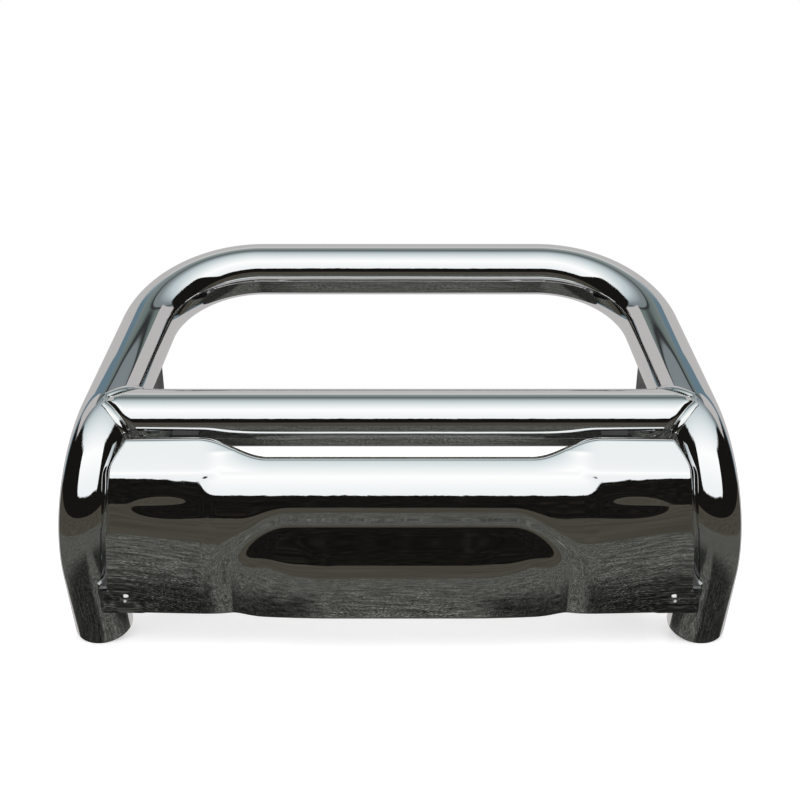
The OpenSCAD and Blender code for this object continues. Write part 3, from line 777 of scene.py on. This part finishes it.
def make_skid_plate():
    """The pressed sheet with its folded edges, given its thickness by a modifier."""
    rows = plate_grid()
    n_rows = len(rows)
    n_cols = len(rows[0][0])
    face = np.array([np.stack([x, skin(x, z), z], 1) for x, z in rows])
    border = sheet_border(n_rows, n_cols)
    pts = np.array([face[j, i] for j, i in border])
    outward = outward_from(pts, sheet_normal(pts[:, 0], pts[:, 2]))
    folds = [edge_fold(p[0], p[2], j == n_rows - 1, j == 0) for p, (j, _) in zip(pts, border)]
    depth, fold = np.array(folds).T
    strips = edge_strips(pts, outward, depth, fold)
    verts = np.concatenate([face.reshape(-1, 3), *strips])
    faces = grid_faces(n_rows, n_cols)
    faces += strip_faces([j * n_cols + i for j, i in border], len(strips), n_rows * n_cols)
    obj = new_object("skid_plate_skin", verts, faces)
    mesh = bmesh.new()
    mesh.from_mesh(obj.data)
    bmesh.ops.remove_doubles(mesh, verts=mesh.verts, dist=0.00001)
    bmesh.ops.recalc_face_normals(mesh, faces=mesh.faces)
    mesh.to_mesh(obj.data)
    mesh.free()
    solid = obj.modifiers.new("sheet", "SOLIDIFY")
    solid.thickness = SHEET_T * MM
    solid.offset = -1.0
    finish_piece(obj, PLATE_STEEL, "skid_plate", "skid_plate")
    obj.data.materials.append(DARK_TAB_STEEL)
    solid.material_offset_rim = 1


# ---------------------------------------------------------------- CAD nodes kept as they are
CAD_LOOKS = {
    "end_plug_left": PLUG_BLACK, "end_plug_right": PLUG_BLACK,
    "skid_tab_upper_left": DARK_TAB_STEEL, "skid_tab_upper_right": DARK_TAB_STEEL,
    "skid_tab_lower_left": TAB_STEEL, "skid_tab_lower_right": TAB_STEEL,
    "skid_screws": SCREW_STEEL, "skid_washers": SCREW_STEEL, "skid_nuts": SCREW_STEEL,
    "mount_tab_left": TAB_STEEL, "mount_tab_right": TAB_STEEL,
    "frame_bracket_left": BRACKET_BLACK, "frame_bracket_right": BRACKET_BLACK,
    "bracket_bolts": ZINC, "bracket_washers": ZINC, "bracket_lock_washers": ZINC, "bracket_nuts": ZINC,
}


def dress_cad_nodes():
    for name, mat in CAD_LOOKS.items():
        obj = bpy.data.objects[name]
        obj.data.materials.clear()
        obj.data.materials.append(mat)


# ---------------------------------------------------------------- studio
def make_floor(centre, z):
    """Pale floor that takes the object's shadow near it and fades to plain white further out."""
    bpy.ops.mesh.primitive_plane_add(size=80, location=(centre.x, centre.y, z))
    floor = bpy.context.object
    floor.name = "floor"
    mat, tree, out = material("floor_white")
    where = node(tree, "ShaderNodeTexCoord").outputs["Object"]
    cloud = node(tree, "ShaderNodeTexNoise", {"Vector": where, "Scale": 3.0, "Detail": 4.0}).outputs["Fac"]
    col = ramp(tree, cloud, [(0.3, grey(0.80)), (0.7, grey(0.83))])
    diffuse = node(tree, "ShaderNodeBsdfDiffuse", {"Color": col})
    path = node(tree, "ShaderNodeLightPath")
    seen = math_node(tree, "MAXIMUM", path.outputs["Is Camera Ray"], path.outputs["Is Glossy Ray"])
    seen = math_node(tree, "MAXIMUM", seen, path.outputs["Is Transmission Ray"])
    lift = node(tree, "ShaderNodeEmission", {"Color": (1, 1, 1, 1), "Strength": times(tree, seen, 0.5)})
    near = node(tree, "ShaderNodeAddShader")
    tree.links.new(diffuse.outputs[0], near.inputs[0])
    tree.links.new(lift.outputs[0], near.inputs[1])
    white = node(tree, "ShaderNodeEmission", {"Color": (1, 1, 1, 1), "Strength": seen})
    distance = node(tree, "ShaderNodeVectorMath", {0: where}, operation="LENGTH").outputs["Value"]
    fade = span(tree, distance, 0.7, 1.5)
    mix = node(tree, "ShaderNodeMixShader", {"Fac": fade})
    tree.links.new(near.outputs[0], mix.inputs[1])
    tree.links.new(white.outputs[0], mix.inputs[2])
    tree.links.new(mix.outputs[0], out.inputs[0])
    floor.data.materials.append(mat)
    floor.visible_glossy = False


def only_in_reflections(obj):
    obj.visible_camera = False
    obj.visible_diffuse = False
    obj.visible_transmission = False
    obj.visible_shadow = False
    obj.visible_volume_scatter = False


def linear(v):
    """Linear value of an 8-bit display value."""
    s = v / 255
    return s / 12.92 if s <= 0.04045 else ((s + 0.055) / 1.055) ** 2.4


MIRRORED = 0.9


def tone(r, g, b):
    """Card colour that the metal, which reflects this share of it, shows as an 8-bit colour."""
    return tuple(linear(v) / MIRRORED for v in (r, g, b))


# the cards: lengths in metres, angles in degrees, azimuths from straight ahead of the object
GROUND_BELOW = 1.25
GROUND_REACH = 14.0
GRAVEL_REACH = 4.5
OPEN_BACK = 1.4
SHEET_EDGE = 119.0
SHEET_FROM = SHEET_EDGE + 6.0
SHEET_TOP = 48.0
SIDE_PATCH_FROM = 100.0
SIDE_PATCH_TOP = 57.0
BLUE_TOP = 65.0
BLUE_FADE = (132.0, 146.0)
TREES_RISE = (34.0, 50.0)
TREES_FALL = (90.0, 104.0)
BLADES_GROW = (30.0, 45.0)


def make_surround(centre):
    """Reflection card: open sky, a dark tree line in front and at the sides, a pale sheet behind."""
    bpy.ops.mesh.primitive_uv_sphere_add(segments=128, ring_count=64, radius=25, location=centre)
    dome = bpy.context.object
    dome.name = "reflection_surround"
    mat, tree, out = material("surround")
    where = node(tree, "ShaderNodeTexCoord").outputs["Object"]
    way = node(tree, "ShaderNodeVectorMath", {0: where}, operation="NORMALIZE").outputs[0]
    xyz = node(tree, "ShaderNodeSeparateXYZ", {0: way})
    x, y, z = xyz.outputs
    front = math_node(tree, "MULTIPLY", y, -1.0)
    rise = math_node(tree, "MULTIPLY", math_node(tree, "ARCSINE", z), 180 / math.pi)
    sweep = math_node(tree, "MULTIPLY", math_node(tree, "ARCTAN2", z, front), 1 / math.pi)
    azimuth = math_node(tree, "ARCTAN2", x, front)
    deg = 1 / 180
    sky = ramp(tree, sweep, [
        (8 * deg, tone(237, 240, 241)), (20 * deg, tone(240, 243, 244)), (44 * deg, tone(254, 254, 254)),
        (66 * deg, tone(223, 229, 231)), (84 * deg, tone(185, 196, 200)), (91 * deg, tone(150, 160, 164)),
        (95 * deg, tone(122, 130, 133)), (98.6 * deg, tone(118, 126, 130)), (99.2 * deg, tone(45, 45, 46)),
        (100.2 * deg, tone(45, 45, 46)), (100.8 * deg, tone(99, 111, 109)), (110 * deg, tone(125, 133, 133)),
        (117.6 * deg, tone(149, 153, 155)), (118.4 * deg, tone(190, 192, 191)), (1.0, tone(200, 200, 200))])
    # tree line
    line_at = node(tree, "ShaderNodeCombineXYZ", {0: math_node(tree, "MULTIPLY", azimuth, 3.0)}).outputs[0]
    hills = node(tree, "ShaderNodeTexNoise", {"Vector": line_at, "Scale": 1.3, "Detail": 2.0}).outputs["Fac"]
    tips = node(tree, "ShaderNodeTexNoise", {"Vector": line_at, "Scale": 14.0, "Detail": 6.0,
                                             "Roughness": 0.75}).outputs["Fac"]
    top = math_node(tree, "ADD", times(tree, hills, 4.0), times(tree, tips, 7.0))
    turn = math_node(tree, "MULTIPLY", math_node(tree, "ABSOLUTE", azimuth), 180 / math.pi)
    side_up = span(tree, turn, *TREES_RISE, 4.8, 35.0)
    side_down = span(tree, turn, *TREES_FALL, 0.0, 19.0)
    top = math_node(tree, "ADD", top, math_node(tree, "SUBTRACT", side_up, side_down))
    blades = node(tree, "ShaderNodeTexNoise", {"Vector": line_at, "Scale": 55.0,
                                               "Detail": 2.0}).outputs["Fac"]
    reach = span(tree, turn, *BLADES_GROW, 4.0, 18.0, smooth=False)
    top = math_node(tree, "ADD", top, times(tree, math_node(tree, "SUBTRACT", blades, 0.5), reach))
    wood = math_node(tree, "LESS_THAN", rise, top)
    ahead = math_node(tree, "LESS_THAN", turn, SHEET_EDGE)
    leaf = node(tree, "ShaderNodeTexNoise", {"Vector": way, "Scale": 60.0, "Detail": 6.0}).outputs["Fac"]
    leaves = ramp(tree, leaf, [(0.3, tone(12, 12, 11)), (0.55, tone(22, 21, 19)), (0.8, tone(38, 36, 32))])
    colour = mix_colour(tree, math_node(tree, "MULTIPLY", wood, ahead), sky, leaves)
    # the sheet behind, with a blue edge at each side and a blue band above it
    behind = math_node(tree, "GREATER_THAN", turn, SHEET_EDGE)
    blue = times(tree, behind, math_node(tree, "LESS_THAN", rise, BLUE_TOP))
    blue = times(tree, blue, span(tree, turn, *BLUE_FADE, 1.0, 0.0, smooth=False))
    colour = mix_colour(tree, blue, colour, (*tone(98, 120, 132), 1))
    sheet = times(tree, math_node(tree, "GREATER_THAN", turn, SHEET_FROM),
                  math_node(tree, "LESS_THAN", rise, SHEET_TOP))
    side = times(tree, math_node(tree, "GREATER_THAN", rise, top),
                 math_node(tree, "LESS_THAN", rise, SIDE_PATCH_TOP),
                 math_node(tree, "GREATER_THAN", turn, SIDE_PATCH_FROM),
                 math_node(tree, "LESS_THAN", turn, SHEET_EDGE))
    colour = mix_colour(tree, math_node(tree, "MAXIMUM", sheet, side), colour, (*tone(182, 179, 179), 1))
    glow = node(tree, "ShaderNodeEmission", {"Color": colour, "Strength": 1.0})
    tree.links.new(glow.outputs[0], out.inputs[0])
    dome.data.materials.append(mat)
    only_in_reflections(dome)


def make_ground(centre, z):
    """Reflection card: dark gravelly ground near the object, a smooth brown strip further out."""
    bpy.ops.mesh.primitive_circle_add(vertices=128, radius=GROUND_REACH, fill_type="NGON",
                                      location=(centre.x, centre.y, z))
    ground = bpy.context.object
    ground.name = "reflection_ground"
    mat, tree, out = material("ground")
    where = node(tree, "ShaderNodeTexCoord").outputs["Object"]
    far = node(tree, "ShaderNodeVectorMath", {0: where}, operation="LENGTH").outputs["Value"]
    near = node(tree, "ShaderNodeMapping", {"Vector": where, "Scale": (170, 46, 1)}).outputs[0]
    grains = node(tree, "ShaderNodeTexNoise", {"Vector": near, "Scale": 1.0, "Detail": 3.0,
                                               "Roughness": 0.6}).outputs["Fac"]
    coarse = node(tree, "ShaderNodeTexNoise", {"Vector": where, "Scale": 9.0, "Detail": 4.0,
                                               "Roughness": 0.7}).outputs["Fac"]
    grit = math_node(tree, "ADD", times(tree, grains, 0.75), times(tree, coarse, 0.25))
    gravel = ramp(tree, grit, [(0.38, tone(8, 9, 8)), (0.47, tone(44, 45, 42)), (0.55, tone(92, 93, 88)),
                               (0.66, tone(190, 190, 182))])
    # the same gravel tones, darker, used as painted shadow
    shaded = ramp(tree, grit, [(0.38, tone(4, 4, 4)), (0.47, tone(20, 20, 19)), (0.55, tone(46, 47, 44)),
                               (0.66, tone(112, 112, 106))])
    # painted shadow: darker gravel close to the object, to either side of its middle
    across, along, _ = node(tree, "ShaderNodeSeparateXYZ", {0: where}).outputs
    across = math_node(tree, "ABSOLUTE", across)
    aside = span(tree, across, 0.2, 0.5)
    close = span(tree, far, 1.4, 2.4, 1.0, 0.0)
    gravel = mix_colour(tree, times(tree, aside, close), gravel, shaded)
    track = node(tree, "ShaderNodeTexNoise", {"Vector": where, "Scale": 0.8, "Detail": 4.0}).outputs["Fac"]
    brown = ramp(tree, track, [(0.3, tone(60, 58, 52)), (0.7, tone(76, 72, 65))])
    edge = math_node(tree, "ADD", far, times(tree, track, 0.8))
    away = span(tree, edge, GRAVEL_REACH, GRAVEL_REACH + 0.1, smooth=False)
    colour = mix_colour(tree, away, gravel, brown)
    glow = node(tree, "ShaderNodeEmission", {"Color": colour, "Strength": 1.0})
    # behind the object the ground ends at OPEN_BACK, and the dome shows below it
    turn = math_node(tree, "ARCTAN2", across, times(tree, along, -1.0))
    behind = times(tree, math_node(tree, "GREATER_THAN", turn, math.radians(SHEET_FROM)),
                   math_node(tree, "GREATER_THAN", far, OPEN_BACK))
    open_back = node(tree, "ShaderNodeMixShader", {"Fac": behind})
    tree.links.new(glow.outputs[0], open_back.inputs[1])
    tree.links.new(node(tree, "ShaderNodeBsdfTransparent").outputs[0], open_back.inputs[2])
    tree.links.new(open_back.outputs[0], out.inputs[0])
    ground.data.materials.append(mat)
    only_in_reflections(ground)


def area_lamp(name, place, target, size, power):
    data = bpy.data.lights.new(name, "AREA")
    data.shape = "RECTANGLE"
    data.size = size
    data.size_y = size * 0.7
    data.energy = power
    obj = bpy.data.objects.new(name, data)
    obj.location = place
    obj.rotation_mode = "QUATERNION"
    obj.rotation_quaternion = (Vector(target) - Vector(place)).to_track_quat("-Z", "Y")
    obj.visible_glossy = False
    obj.visible_camera = False
    bpy.context.scene.collection.objects.link(obj)


def make_world():
    world = bpy.data.worlds.new("studio")
    bpy.context.scene.world = world
    world.use_nodes = True
    tree = world.node_tree
    tree.nodes.clear()
    out = tree.nodes.new("ShaderNodeOutputWorld")
    path = node(tree, "ShaderNodeLightPath")
    seen = math_node(tree, "MAXIMUM", path.outputs["Is Camera Ray"], path.outputs["Is Glossy Ray"])
    seen = math_node(tree, "MAXIMUM", seen, path.outputs["Is Transmission Ray"])
    soft = node(tree, "ShaderNodeBackground", {"Color": (1, 1, 1, 1), "Strength": 0.55})
    white = node(tree, "ShaderNodeBackground", {"Color": (1, 1, 1, 1), "Strength": 1.0})
    mix = node(tree, "ShaderNodeMixShader", {"Fac": seen})
    tree.links.new(soft.outputs[0], mix.inputs[1])
    tree.links.new(white.outputs[0], mix.inputs[2])
    tree.links.new(mix.outputs[0], out.inputs[0])


CAMERA_FROM_TUBE = Vector((0, -1343.1, 334.1))
CAMERA_DOWN = 13
CAMERA_LENS = 47.25


def make_camera():
    """Camera placed from the middle of the cross tube, looking slightly down."""
    lo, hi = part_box("cross_tube")
    mid = (lo + hi) / 2
    cam_data = bpy.data.cameras.new("camera")
    cam_data.sensor_width = 36
    cam_data.lens = CAMERA_LENS
    cam = bpy.data.objects.new("camera", cam_data)
    bpy.context.scene.collection.objects.link(cam)
    cam.location = mid + CAMERA_FROM_TUBE * MM
    cam.rotation_euler = (math.radians(90 - CAMERA_DOWN), 0, 0)
    bpy.context.scene.camera = cam


def main():
    make_hoop()
    make_cross_tube()
    make_weld(1)
    make_weld(-1)
    make_skid_plate()
    dress_cad_nodes()
    lo, hi = cad_box
    floor_z = lo.z
    centre = (lo + hi) / 2
    make_floor(centre, floor_z)
    make_surround((centre.x, centre.y, centre.z))
    make_ground(centre, centre.z - GROUND_BELOW)
    area_lamp("key", (-1.6, -2.4, 2.6), centre, 2.2, 45)
    area_lamp("fill", (2.2, -1.6, 1.8), centre, 2.0, 22)
    area_lamp("back", (0.3, 2.4, 2.4), centre, 2.0, 26)
    make_world()
    make_camera()
    bpy.context.scene.view_settings.view_transform = "Standard"


main()
